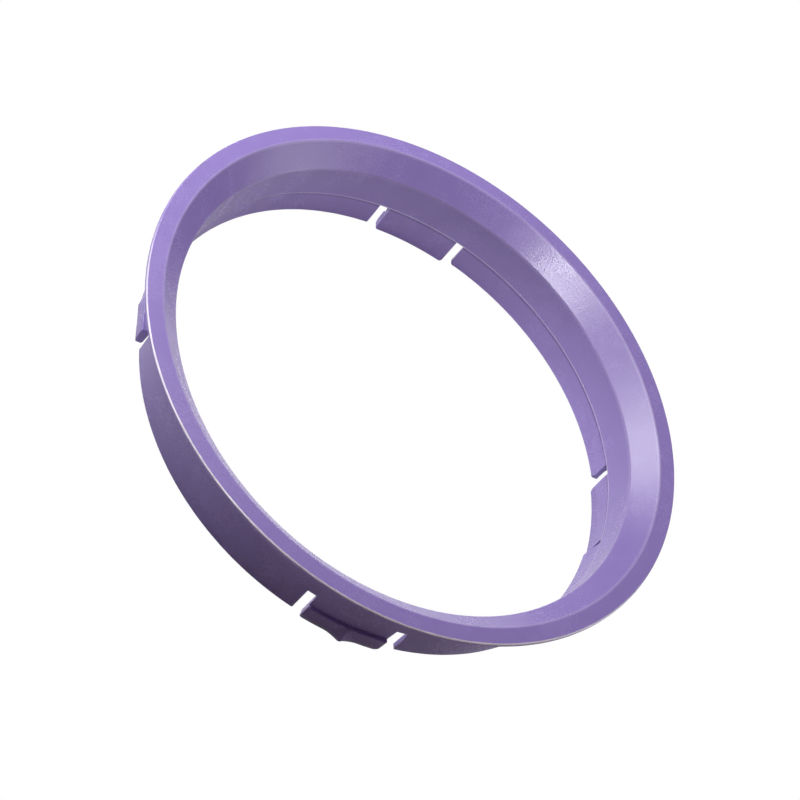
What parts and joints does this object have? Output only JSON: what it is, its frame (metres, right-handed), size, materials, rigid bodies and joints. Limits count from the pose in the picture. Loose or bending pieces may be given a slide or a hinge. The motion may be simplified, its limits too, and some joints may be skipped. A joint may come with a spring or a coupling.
{
  "type": "hub centric ring",
  "caption": "Moulded plastic hub centring ring with a chamfered flange, a thin round skirt and snap tabs that clip into a wheel's centre bore.",
  "frame": {"origin": "on the ring's axis, in the plane of the snap tabs' ends, which it stands on", "axes": "+Z along the axis towards the flange's front face; +X through the middle of a snap tab"},
  "size_m": [0.0756, 0.0756, 0.0124],
  "materials": {
    "purple_plastic": "satin moulded plastic, solid purple"
  },
  "bodies": {
    "root": {"centring_ring": "purple_plastic"}
  },
  "joints": []
}
